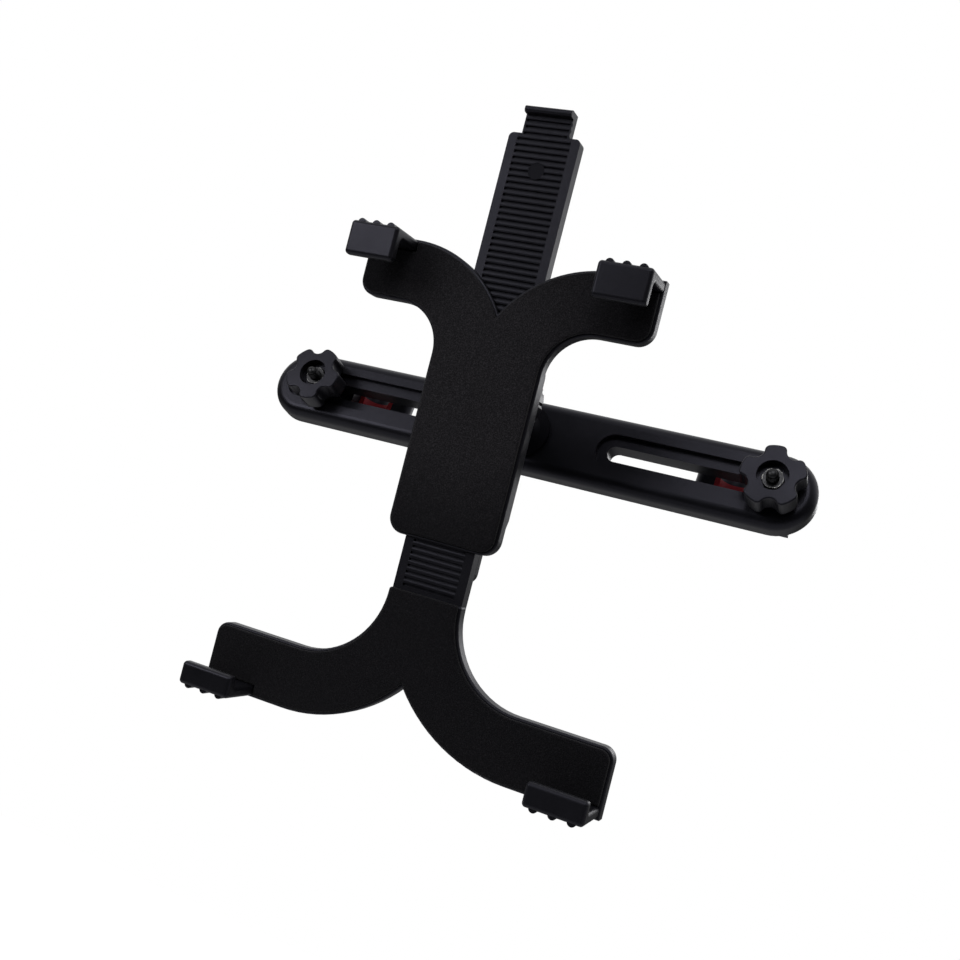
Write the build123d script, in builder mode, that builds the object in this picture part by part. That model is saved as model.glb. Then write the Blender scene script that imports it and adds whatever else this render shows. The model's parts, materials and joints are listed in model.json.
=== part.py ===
from build123d import *
import math
import os

os.makedirs("parts", exist_ok=True)

# Millimetres and degrees. X runs along the bar, Z along the headrest posts, -Y faces the passenger.
# The origin lies between the two post axes, behind the middle of the bar.
# Depths are measured forward, towards the passenger.

# Plays between pieces that fit together
thread_play = 0.08
seat_play = 0.05
slide_play = 0.25
hole_play = 0.3
spring_play = 0.05

# Headrest posts that the clamps are shaped for
post_radius = 6.5
post_play = 0.1

# Bar with two stepped slots
bar_length = 250
bar_width = 32.4
bar_thickness = 11
bar_front_round = 4.5
bar_back_round = 1.5
slot_width = 7
slot_inner = 38.4
slot_end_wall = 11.5
ledge_width = 4.5
ledge_depth = 2.5
core_inner = 11
core_wall = 3.5
core_depth = 7
core_corner = 2

# Screw that holds the ball stud from the back of the bar
stud_screw_radius = 2.5
stud_screw_head_radius = 4.6
stud_screw_head_height = 3
stud_screw_head_round = 1.5
stud_screw_sink = 4
stud_screw_grip = 9
stud_screw_point = 0.6
stud_hole_spare = 1
cross_length = 4.4
cross_width = 1
cross_depth = 1.6

# Ball stud
ball_radius = 8.5
ball_reach = 31
flange_radius = 12.6
flange_rim = 1.8
flange_height = 2.6
neck_root_radius = 8.6
neck_radius = 4.1
neck_flare = 0.6

# Ball socket and its ring nut
socket_radius = 12
socket_rim = 0.4
collar_radius = 15.5
collar_height = 2.5
ring_radius = 15
ring_gap = 0.5
ring_back = 6.5
lip_depth = 5
mouth_radius = 8.8
flute_count = 16
flute_radius = 1.3
flute_depth = 0.7

# Layers of the holder, from the ball forward to the face of the foam
rest_lean = 18
cover_reach = 16.3
cover_floor = 4.5
strip_thickness = 5
front_skin = 1.5
arm_thickness = 5
pad_thickness = 1.5
pad_rim = 1.1
edge_round = 0.9

# Upper bracket, heights above the ball
body_half = 23
body_bottom = -62.7
body_corner = 6.5
arm_top = 50.8
arm_bottom = 25.9
arm_end = 61
arm_end_corner = 6.5
arm_top_corner = 4
arm_crook = 40.9
notch_run = 41
notch_drop = 22.9
shell_wall = 2.4

# Rear cover
cover_half = 22
cover_top = 17.4
cover_top_corner = 10
cover_taper = -47.6
cover_bottom = -58.6
cover_bottom_half = 20.4
cover_bottom_corner = 5
cover_back_round = 3
tail_half = 14.8
tail_bottom = -74.6
tail_thickness = 3
tail_corner = 4

# Screws of the rear cover
cover_screw_x = 18.6
cover_screw_top = 4
cover_screw_bottom = -40
cover_screw_radius = 1.4
cover_screw_head_radius = 2.6
cover_screw_head_height = 1.9
cover_screw_head_round = 0.9
cover_screw_sink = 2.2
cover_screw_grip = 3.5
cover_cross_length = 2.8
cover_cross_width = 0.7
cover_cross_depth = 1

# Leaf spring that rubs on the back of the strip
leaf_middle = -40
leaf_length = 24
leaf_width = 9
leaf_thickness = 0.4
leaf_bend = 0.8
leaf_crest = 7
leaf_pocket = 2

# Strip and tab of the lower bracket
strip_half = 14.8
strip_top = 98.7
strip_corner = 2
rib_half = 11.1
rib_pitch = 2.5
rib_gap = 1.1
rib_depth = 0.8
rib_first = 96.4
rib_count = 72
tab_half = 9.7
tab_top = 108.8
tab_thickness = 4
tab_rib_half = 9
tab_rib_count = 3
tab_lip_height = 2.6
tab_lip_rise = 3.2
tab_lip_round = 1.2
disc_height = 84.6
disc_radius = 3.3
disc_sink = 0.15

# Arms of the lower bracket
neck_half = 15.5
neck_top = -83.2
neck_corner = 1
foot_top = -115.8
foot_bottom = -141.4
foot_end = 85.1
foot_corner = 5
foot_claw_corner = 4
foot_crook = 46.8
foot_notch_run = 48
foot_notch_rise = 22.6

# Claws: plastic hooks under rubber caps
claw_depth = 17.5
claw_wall = 4.2
claw_lip = 4.6
claw_setback = 0.6
claw_round = 1.6
cap_wall = 1.2
cap_side_round = 1.4
upper_claw_inner = 40.1
upper_claw_outer = 60.8
upper_claw_lip = 13.5
lower_claw_inner = 61.6
lower_claw_outer = 84.5
lower_claw_lip = 9
ridge_count = 3
upper_ridge_pitch = 6.3
lower_ridge_pitch = 7.1
ridge_radius = 1.7
ridge_rise = 1.1
ridge_start = 2
ridge_end = 1
pad_claw_gap = 0.4

# Clamps: how far each bolt stands from the outer end of its slot at rest, and how its knob is turned
right_bolt_inset = 5.6
left_bolt_inset = 14
right_knob_turn = 26
left_knob_turn = -7
post_offset = 18

# Carriage bolt and its nut
bolt_radius = 2.5
bolt_head_radius = 5.5
bolt_head_height = 2.6
bolt_head_round = 2.3
bolt_square = 5
bolt_square_depth = 3
bolt_tip_round = 0.9
bolt_tip_proud = 2.5
nut_flats = 8
nut_height = 4
nut_chamfer = 0.5

# Washer in the recess of the slot
washer_radius = 7.7
washer_thickness = 2.8

# Star knob
knob_front = 12.8
knob_height = 10
knob_radius = 12.9
lobe_count = 5
valley_radius = 3.5
valley_reach = 13.1
lobe_round = 2.2
knob_front_round = 0.6
knob_back_round = 0.6
knob_collar_radius = 7
knob_recess_radius = 6.25
knob_recess_depth = 4
nut_proud = 1

# Jaw and grip pad
jaw_reach = 35
jaw_tail = 7.5
jaw_height = 19
jaw_wall = 2.2
jaw_round = 2
jaw_tip_round = 4
jaw_back_round = 2.2
jaw_opening = 1.5
heel_gap = 1.2
heel_wall = 2
key_length = 10
key_depth = 7.4
grip_length = 17
grip_height = 13.4
grip_floor = 1.5
groove_relief = 0.5

# Depths and planes that follow from the sizes above
bar_back = post_radius + post_play
bar_front = bar_back + bar_thickness
ledge_front = bar_front - ledge_depth
slot_outer = bar_length / 2 - slot_end_wall
slot_middle = (slot_inner + slot_outer) / 2
slot_length = slot_outer - slot_inner
screw_seat = bar_back + stud_screw_sink
ball_front = bar_front + ball_reach
ball_centre = (0, -ball_front, 0)
cup_radius = ball_radius + thread_play

channel_floor = cover_reach + cover_floor
strip_back = channel_floor + slide_play
strip_front = strip_back + strip_thickness
channel_roof = strip_front + slide_play
plate_front = channel_roof + front_skin
pad_front = plate_front + pad_thickness
seam = plate_front - arm_thickness
claw_front = pad_front + claw_depth
channel_half = strip_half + slide_play

lean = math.radians(rest_lean)
bar_view = Plane.XZ
bar_plan = Plane(origin=(0, 0, 0), x_dir=(1, 0, 0), z_dir=(0, 0, -1))
holder = Plane(origin=ball_centre, x_dir=(1, 0, 0), z_dir=(0, -math.cos(lean), -math.sin(lean)))
holder_side = Plane(origin=ball_centre, x_dir=holder.y_dir, z_dir=holder.x_dir)
holder_plan = Plane(origin=ball_centre, x_dir=holder.x_dir, z_dir=-holder.y_dir)
holder_axis = Axis(ball_centre, holder.z_dir)
stud_axis = Axis(ball_centre, (0, -1, 0))


def notch_depth(run, depth, inset):
    """Depth of the notch between two arms once their edge has moved in by inset."""
    radius = (run**2 + depth**2) / (2 * depth)
    return radius - math.sqrt((radius - inset) ** 2 - run**2)


def upper_outline(inset):
    """Y-shaped outline of the upper bracket, moved in by inset on every side."""
    top = arm_top - inset
    bottom = arm_bottom + inset
    half = body_half - inset
    crook = bottom - (arm_crook - half)
    apex = arm_top - notch_depth(notch_run, notch_drop, inset)
    with BuildSketch() as outline:
        with BuildLine():
            TangentArc((notch_run, top), (0, apex), tangent=(-1, 0))
            Polyline((notch_run, top), (arm_end - inset, top), (arm_end - inset, bottom), (arm_crook, bottom))
            TangentArc((arm_crook, bottom), (half, crook), tangent=(-1, 0))
            Polyline((half, crook), (half, body_bottom + inset), (0, body_bottom + inset))
            mirror(about=Plane.YZ)
        make_face()
        fillet(outline.vertices().group_by(Axis.Y)[0], body_corner - inset)
        ends = outline.vertices().filter_by(lambda v: abs(v.X) > (notch_run + arm_end) / 2)
        fillet(ends.group_by(Axis.Y)[0], arm_end_corner - inset)
        fillet(ends.group_by(Axis.Y)[-1], arm_top_corner - inset)
    return outline.sketch


def lower_outline(inset):
    """Outline of the lower bracket's two arms, moved in by inset on every side but the top."""
    top = foot_top - inset
    bottom = foot_bottom + inset
    half = neck_half - inset
    crook = top + (foot_crook - half)
    apex = foot_bottom + notch_depth(foot_notch_run, foot_notch_rise, inset)
    with BuildSketch() as outline:
        with BuildLine():
            Polyline((0, neck_top), (half, neck_top), (half, crook))
            TangentArc((foot_crook, top), (half, crook), tangent=(-1, 0))
            end = foot_end - inset
            Polyline((foot_crook, top), (end, top), (end, bottom), (foot_notch_run, bottom))
            TangentArc((foot_notch_run, bottom), (0, apex), tangent=(-1, 0))
            mirror(about=Plane.YZ)
        make_face()
        fillet(outline.vertices().group_by(Axis.Y)[-1], neck_corner)
        ends = outline.vertices().filter_by(lambda v: abs(v.X) > (foot_crook + foot_end) / 2)
        fillet(ends.group_by(Axis.Y)[-1], foot_corner - inset)
        fillet(ends.group_by(Axis.Y)[0], foot_claw_corner - inset)
    return outline.sketch


def hook_profile(edge, inward, lip, inset, foot):
    """Hook seen from its side as height and depth, moved in by inset except at the foot."""
    outer = edge + inward * inset
    inner = edge + inward * (claw_wall - inset)
    tip = edge + inward * (lip - inset)
    front = claw_front - inset
    under = claw_front - claw_lip + inset
    with BuildSketch() as profile:
        with BuildLine():
            Polyline(
                (outer, foot), (outer, front), (tip, front), (tip, under), (inner, under), (inner, foot),
                close=True,
            )
        make_face()
        if inset < claw_round:
            fillet(profile.vertices().sort_by(Axis.Y)[2:], claw_round - inset)
    return profile.sketch


upper_edge = arm_top - claw_setback
lower_edge = foot_bottom + claw_setback
upper_claws = [
    ("upper_left_claw_cap", -upper_claw_outer, -upper_claw_inner),
    ("upper_right_claw_cap", upper_claw_inner, upper_claw_outer),
]
lower_claws = [
    ("lower_left_claw_cap", -lower_claw_outer, -lower_claw_inner),
    ("lower_right_claw_cap", lower_claw_inner, lower_claw_outer),
]
core_inset = cap_wall + seat_play
pad_cut = 2 * (claw_setback + claw_wall + pad_claw_gap)
upper_claw_middle = (upper_claw_inner + upper_claw_outer) / 2
lower_claw_middle = (lower_claw_inner + lower_claw_outer) / 2

# Headrest bar
core_outer = slot_inner - ledge_width - core_wall
core_middle = (core_inner + core_outer) / 2
with BuildPart() as headrest_bar:
    with BuildSketch(bar_view.offset(bar_back)):
        SlotOverall(bar_length, bar_width)
    extrude(amount=bar_thickness)
    fillet(headrest_bar.faces().sort_by(Axis.Y)[0].edges(), bar_front_round)
    fillet(headrest_bar.faces().sort_by(Axis.Y)[-1].edges(), bar_back_round)
    with BuildSketch(bar_view.offset(bar_front)):
        with Locations((-slot_middle, 0), (slot_middle, 0)):
            SlotOverall(slot_length + 2 * ledge_width, slot_width + 2 * ledge_width)
    extrude(amount=-ledge_depth, mode=Mode.SUBTRACT)
    with BuildSketch(bar_view.offset(bar_front)):
        with Locations((-slot_middle, 0), (slot_middle, 0)):
            SlotOverall(slot_length, slot_width)
    extrude(amount=-bar_thickness, mode=Mode.SUBTRACT)
    with BuildSketch(bar_view.offset(bar_back)):
        with Locations((-core_middle, 0), (core_middle, 0)):
            RectangleRounded(core_outer - core_inner, bar_width - 2 * core_wall, core_corner)
    extrude(amount=core_depth, mode=Mode.SUBTRACT)
    with BuildSketch(bar_view.offset(bar_back)):
        Circle(stud_screw_head_radius + hole_play)
    extrude(amount=stud_screw_sink, mode=Mode.SUBTRACT)
    with BuildSketch(bar_view.offset(bar_back)):
        Circle(stud_screw_radius + hole_play)
    extrude(amount=bar_thickness, mode=Mode.SUBTRACT)
headrest_bar.part.label = "headrest_bar"
export_step(headrest_bar.part, "parts/headrest_bar.step")

# Ball stud: a turned piece with a round base, a waisted neck and the ball
neck_join = ball_front - math.sqrt(ball_radius**2 - neck_radius**2)
with BuildPart() as ball_stud:
    with BuildSketch(bar_plan):
        with BuildLine():
            Polyline((0, bar_front), (flange_radius, bar_front), (flange_radius, bar_front + flange_rim))
            Line((flange_radius, bar_front + flange_rim), (neck_root_radius, bar_front + flange_height))
            Spline(
                (neck_root_radius, bar_front + flange_height),
                (neck_radius, neck_join),
                tangents=((-1, neck_flare), (0, 1)),
            )
            ThreePointArc((neck_radius, neck_join), (ball_radius, ball_front), (0, ball_front + ball_radius))
            Line((0, ball_front + ball_radius), (0, bar_front))
        make_face()
    revolve(axis=stud_axis)
    with BuildSketch(bar_view.offset(bar_front)):
        Circle(stud_screw_radius + thread_play)
    extrude(amount=stud_screw_grip + stud_hole_spare, mode=Mode.SUBTRACT)
ball_stud.part.label = "ball_stud"
export_step(ball_stud.part, "parts/ball_stud.step")

# Screw of the ball stud
with BuildPart() as stud_screw:
    with BuildSketch(bar_view.offset(screw_seat)):
        Circle(stud_screw_head_radius)
    extrude(amount=-stud_screw_head_height)
    fillet(stud_screw.edges().sort_by(Axis.Y)[-1], stud_screw_head_round)
    with BuildSketch(bar_view.offset(screw_seat)):
        Circle(stud_screw_radius)
    extrude(amount=bar_front - screw_seat + stud_screw_grip)
    chamfer(stud_screw.edges().sort_by(Axis.Y)[0], stud_screw_point)
    with BuildSketch(bar_view.offset(screw_seat - stud_screw_head_height)):
        Rectangle(cross_length, cross_width)
        Rectangle(cross_width, cross_length)
    extrude(amount=cross_depth, mode=Mode.SUBTRACT)
stud_screw.part.label = "stud_screw"
export_step(stud_screw.part, "parts/stud_screw.step")

# Ring nut: screwed on the socket, its rounded seat holds the ball from behind
ring_front = cover_reach - collar_height - ring_gap
ring_bore = socket_radius + thread_play
lip_radius = math.sqrt(cup_radius**2 - lip_depth**2)
seat_middle = math.asin(lip_depth / cup_radius) / 2
with BuildPart() as ring_nut:
    with BuildSketch(holder_plan):
        with BuildLine():
            Polyline((cup_radius, 0), (ring_bore, 0), (ring_bore, ring_front), (ring_radius, ring_front))
            Polyline((ring_radius, ring_front), (ring_radius, -ring_back), (mouth_radius, -ring_back))
            Line((mouth_radius, -ring_back), (lip_radius, -lip_depth))
            ThreePointArc(
                (lip_radius, -lip_depth),
                (cup_radius * math.cos(seat_middle), -cup_radius * math.sin(seat_middle)),
                (cup_radius, 0),
            )
        make_face()
    revolve(axis=holder_axis)
    rims = ring_nut.edges().filter_by(GeomType.CIRCLE).group_by(SortBy.RADIUS)[-1]
    fillet(rims, edge_round)
    with BuildSketch(holder.offset(-ring_back)):
        with PolarLocations(ring_radius + flute_radius - flute_depth, flute_count):
            Circle(flute_radius)
    extrude(amount=ring_back + ring_front, mode=Mode.SUBTRACT)
ring_nut.part.label = "ring_nut"
export_step(ring_nut.part, "parts/ring_nut.step")

# Rear cover: closes the channel of the strip and carries the ball socket
cup_rim = math.sqrt(cup_radius**2 - socket_rim**2)
cover_screw_middle = (cover_screw_top + cover_screw_bottom) / 2
cover_screw_rise = cover_screw_top - cover_screw_bottom
with BuildPart() as rear_cover:
    with BuildSketch(holder.offset(cover_reach)) as cover_outline:
        with BuildLine():
            Polyline(
                (0, cover_top),
                (cover_half, cover_top),
                (cover_half, cover_taper),
                (cover_bottom_half, cover_bottom),
                (0, cover_bottom),
            )
            mirror(about=Plane.YZ)
        make_face()
        fillet(cover_outline.vertices().group_by(Axis.Y)[-1], cover_top_corner)
        fillet(cover_outline.vertices().group_by(Axis.Y)[0], cover_bottom_corner)
    extrude(amount=seam - cover_reach)
    fillet(rear_cover.faces().sort_by(holder_axis)[0].edges(), cover_back_round)
    with BuildSketch(holder.offset(channel_floor)) as tail_outline:
        with BuildLine():
            Polyline(
                (-tail_half, 0),
                (-tail_half, tail_bottom),
                (tail_half, tail_bottom),
                (tail_half, 0),
                close=True,
            )
        make_face()
        fillet(tail_outline.vertices().group_by(Axis.Y)[0], tail_corner)
    extrude(amount=-tail_thickness)
    with BuildSketch(holder_plan):
        with BuildLine():
            Polyline((cup_rim, socket_rim), (socket_radius, socket_rim), (socket_radius, ring_front + ring_gap))
            Polyline(
                (socket_radius, ring_front + ring_gap),
                (collar_radius, ring_front + ring_gap),
                (collar_radius, channel_floor - leaf_pocket),
                (0, channel_floor - leaf_pocket),
                (0, cup_radius),
            )
            ThreePointArc(
                (0, cup_radius),
                (cup_radius * math.sin(math.pi / 4), cup_radius * math.cos(math.pi / 4)),
                (cup_rim, socket_rim),
            )
        make_face()
    revolve(axis=holder_axis)
    with BuildSketch(holder.offset(channel_floor)):
        Rectangle(2 * channel_half, 2 * max(cover_top, -tail_bottom) + body_half)
    extrude(amount=seam - channel_floor, mode=Mode.SUBTRACT)
    with BuildSketch(holder.offset(channel_floor)):
        with Locations((0, leaf_middle)):
            Rectangle(leaf_width + 2 * slide_play, leaf_length + 2 * slide_play)
    extrude(amount=-leaf_pocket, mode=Mode.SUBTRACT)
    with BuildSketch(holder.offset(cover_reach)):
        with Locations((0, cover_screw_middle)):
            with GridLocations(2 * cover_screw_x, cover_screw_rise, 2, 2):
                Circle(cover_screw_head_radius + hole_play)
    extrude(amount=cover_screw_sink, mode=Mode.SUBTRACT)
    with BuildSketch(holder.offset(cover_reach)):
        with Locations((0, cover_screw_middle)):
            with GridLocations(2 * cover_screw_x, cover_screw_rise, 2, 2):
                Circle(cover_screw_radius + hole_play)
    extrude(amount=seam - cover_reach, mode=Mode.SUBTRACT)
rear_cover.part.label = "rear_cover"
export_step(rear_cover.part, "parts/rear_cover.step")

# Four screws of the rear cover
cover_screw_seat = cover_reach + cover_screw_sink
with BuildPart() as cover_screws:
    with BuildSketch(holder.offset(cover_screw_seat)):
        with Locations((0, cover_screw_middle)):
            with GridLocations(2 * cover_screw_x, cover_screw_rise, 2, 2):
                Circle(cover_screw_head_radius)
    extrude(amount=-cover_screw_head_height)
    fillet(cover_screws.edges().group_by(holder_axis)[0], cover_screw_head_round)
    with BuildSketch(holder.offset(cover_screw_seat)):
        with Locations((0, cover_screw_middle)):
            with GridLocations(2 * cover_screw_x, cover_screw_rise, 2, 2):
                Circle(cover_screw_radius)
    extrude(amount=seam - cover_screw_seat + cover_screw_grip)
    with BuildSketch(holder.offset(cover_screw_seat - cover_screw_head_height)):
        with Locations((0, cover_screw_middle)):
            with GridLocations(2 * cover_screw_x, cover_screw_rise, 2, 2):
                Rectangle(cover_cross_length, cover_cross_width)
                Rectangle(cover_cross_width, cover_cross_length)
    extrude(amount=cover_cross_depth, mode=Mode.SUBTRACT)
cover_screws.part.label = "cover_screws"
export_step(cover_screws.part, "parts/cover_screws.step")

# Upper bracket: Y-shaped shell, open behind, with the channel of the strip and two hooks
with BuildPart() as upper_bracket:
    with BuildSketch(holder.offset(seam)):
        add(upper_outline(0))
    extrude(amount=arm_thickness)
    fillet(upper_bracket.faces().sort_by(holder_axis)[-1].edges(), edge_round)
    with BuildSketch(holder.offset(seam)):
        add(upper_outline(shell_wall))
        Rectangle(2 * body_half, 2 * (arm_top - body_bottom), mode=Mode.SUBTRACT)
    extrude(amount=arm_thickness - shell_wall, mode=Mode.SUBTRACT)
    with BuildSketch(holder.offset(seam)):
        Rectangle(2 * channel_half, 2 * (arm_top - body_bottom))
    extrude(amount=channel_roof - seam, mode=Mode.SUBTRACT)
    with BuildSketch(holder.offset(seam)):
        with Locations((0, cover_screw_middle)):
            with GridLocations(2 * cover_screw_x, cover_screw_rise, 2, 2):
                Circle(cover_screw_radius + thread_play)
    extrude(amount=cover_screw_grip + seat_play, mode=Mode.SUBTRACT)
    for name, left, right in upper_claws:
        with BuildSketch(holder_side.offset(left + core_inset)):
            add(hook_profile(upper_edge, -1, upper_claw_lip, core_inset, plate_front - shell_wall / 2))
        extrude(amount=right - left - 2 * core_inset)
upper_bracket.part.label = "upper_bracket"
export_step(upper_bracket.part, "parts/upper_bracket.step")

# Foam pad of the upper bracket
with BuildPart() as upper_pad:
    with BuildSketch(holder.offset(plate_front)):
        add(upper_outline(pad_rim))
        with Locations((-upper_claw_middle, arm_top), (upper_claw_middle, arm_top)):
            Rectangle(upper_claw_outer - upper_claw_inner + 2 * pad_claw_gap, pad_cut, mode=Mode.SUBTRACT)
    extrude(amount=pad_thickness)
upper_pad.part.label = "upper_pad"
export_step(upper_pad.part, "parts/upper_pad.step")

# Lower bracket: ribbed strip with a finger tab, running into two arms with hooks
rib_last = rib_first - rib_pitch * (rib_count - 1)
strip_bottom = neck_top - foot_notch_rise / 2
with BuildPart() as lower_bracket:
    with BuildSketch(holder.offset(seam)):
        add(lower_outline(0))
    extrude(amount=arm_thickness)
    fillet(lower_bracket.faces().sort_by(holder_axis)[-1].edges(), edge_round)
    with BuildSketch(holder.offset(seam)):
        add(lower_outline(shell_wall))
        Rectangle(2 * neck_half, -2 * foot_bottom, mode=Mode.SUBTRACT)
    extrude(amount=arm_thickness - shell_wall, mode=Mode.SUBTRACT)
    with BuildSketch(holder.offset(strip_back)) as strip_outline:
        with BuildLine():
            Polyline(
                (-strip_half, strip_bottom),
                (-strip_half, strip_top),
                (strip_half, strip_top),
                (strip_half, strip_bottom),
                close=True,
            )
        make_face()
        fillet(strip_outline.vertices().group_by(Axis.Y)[-1], strip_corner)
    extrude(amount=strip_thickness)
    with BuildSketch(holder.offset(strip_front)):
        with Locations((0, (strip_top + tab_top) / 2 - strip_corner)):
            Rectangle(2 * tab_half, tab_top - strip_top + 2 * strip_corner - tab_lip_height)
    extrude(amount=-tab_thickness)
    with BuildSketch(holder_side.offset(-tab_half)) as tab_lip:
        with BuildLine():
            Polyline(
                (tab_top - tab_lip_height - strip_corner, strip_front - tab_thickness),
                (tab_top, strip_front - tab_thickness),
                (tab_top, strip_front + tab_lip_rise),
                (tab_top - tab_lip_height, strip_front + tab_lip_rise),
                (tab_top - tab_lip_height, strip_front),
                (tab_top - tab_lip_height - strip_corner, strip_front),
                close=True,
            )
        make_face()
        fillet(tab_lip.vertices().group_by(Axis.Y)[-1], tab_lip_round)
    extrude(amount=2 * tab_half)
    with BuildSketch(holder.offset(strip_front)):
        with Locations((0, (rib_first + rib_last) / 2)):
            with GridLocations(0, rib_pitch, 1, rib_count):
                Rectangle(2 * rib_half, rib_gap)
        with Locations((0, disc_height)):
            Circle(disc_radius, mode=Mode.SUBTRACT)
    extrude(amount=-rib_depth, mode=Mode.SUBTRACT)
    with BuildSketch(holder.offset(strip_front)):
        with Locations((0, rib_first + rib_pitch * (tab_rib_count + 1) / 2)):
            with GridLocations(0, rib_pitch, 1, tab_rib_count):
                Rectangle(2 * tab_rib_half, rib_gap)
    extrude(amount=-rib_depth, mode=Mode.SUBTRACT)
    with BuildSketch(holder.offset(strip_front)):
        with Locations((0, disc_height)):
            Circle(disc_radius)
    extrude(amount=-disc_sink, mode=Mode.SUBTRACT)
    for name, left, right in lower_claws:
        with BuildSketch(holder_side.offset(left + core_inset)):
            add(hook_profile(lower_edge, 1, lower_claw_lip, core_inset, plate_front - shell_wall / 2))
        extrude(amount=right - left - 2 * core_inset)
lower_bracket.part.label = "lower_bracket"
export_step(lower_bracket.part, "parts/lower_bracket.step")

# Foam pad of the lower bracket
with BuildPart() as lower_pad:
    with BuildSketch(holder.offset(plate_front)):
        add(lower_outline(pad_rim))
        with Locations((-lower_claw_middle, foot_bottom), (lower_claw_middle, foot_bottom)):
            Rectangle(lower_claw_outer - lower_claw_inner + 2 * pad_claw_gap, pad_cut, mode=Mode.SUBTRACT)
    extrude(amount=pad_thickness)
lower_pad.part.label = "lower_pad"
export_step(lower_pad.part, "parts/lower_pad.step")

# Rubber caps of the claws, ridged on their outer side
claw_sides = [
    (upper_claws, upper_edge, -1, upper_claw_lip, upper_ridge_pitch),
    (lower_claws, lower_edge, 1, lower_claw_lip, lower_ridge_pitch),
]
for claws, edge, inward, lip, ridge_pitch in claw_sides:
    for name, left, right in claws:
        with BuildPart() as claw_cap:
            with BuildSketch(holder_side.offset(left)):
                add(hook_profile(edge, inward, lip, 0, plate_front))
            extrude(amount=right - left)
            ends = claw_cap.faces().sort_by(Axis.X)
            rims = ends[0].edges() + ends[-1].edges()
            free = rims.filter_by(lambda e: holder.to_local_coords(e.center()).Z > plate_front + cap_side_round)
            fillet(free, cap_side_round)
            with BuildSketch(holder.offset(plate_front + ridge_start)):
                with Locations(((left + right) / 2, edge - inward * (ridge_rise - ridge_radius))):
                    with GridLocations(ridge_pitch, 0, ridge_count, 1):
                        Circle(ridge_radius)
            extrude(amount=claw_front - plate_front - ridge_start - ridge_end)
            with BuildSketch(holder_side.offset(left + cap_wall)):
                add(hook_profile(edge, inward, lip, cap_wall, plate_front))
            extrude(amount=right - left - 2 * cap_wall, mode=Mode.SUBTRACT)
        claw_cap.part.label = name
        export_step(claw_cap.part, f"parts/{name}.step")

# Leaf spring between the rear cover and the strip
leaf_floor = channel_floor - leaf_pocket + leaf_thickness / 2
leaf_top = strip_back - spring_play - leaf_thickness / 2
with BuildPart() as slide_spring:
    with BuildSketch(holder_side.offset(-leaf_width / 2)):
        with BuildLine():
            FilletPolyline(
                (leaf_middle - leaf_length / 2, leaf_floor),
                (leaf_middle - leaf_crest, leaf_floor),
                (leaf_middle - leaf_crest / 2, leaf_top),
                (leaf_middle + leaf_crest / 2, leaf_top),
                (leaf_middle + leaf_crest, leaf_floor),
                (leaf_middle + leaf_length / 2, leaf_floor),
                radius=leaf_bend,
            )
        trace(line_width=leaf_thickness)
    extrude(amount=leaf_width)
slide_spring.part.label = "slide_spring"
export_step(slide_spring.part, "parts/slide_spring.step")

# Clamps, one on each side: washer, knob, nut, bolt, jaw and grip pad
washer_front = ledge_front + washer_thickness
knob_face = bar_front + knob_front
knob_base = knob_face - knob_height
recess_floor = knob_face - knob_recess_depth
nut_front = recess_floor + nut_proud
nut_back = nut_front - nut_height
grip_back = -(post_radius + grip_floor)
jaw_back = grip_back - jaw_wall
jaw_arm = -jaw_opening
heel_front = bar_back - heel_gap
heel_inner = post_offset - post_radius - heel_wall
key_front = bar_back + key_depth
bolt_tip = knob_face + bolt_tip_proud
grip_middle = heel_inner + grip_length / 2

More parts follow.
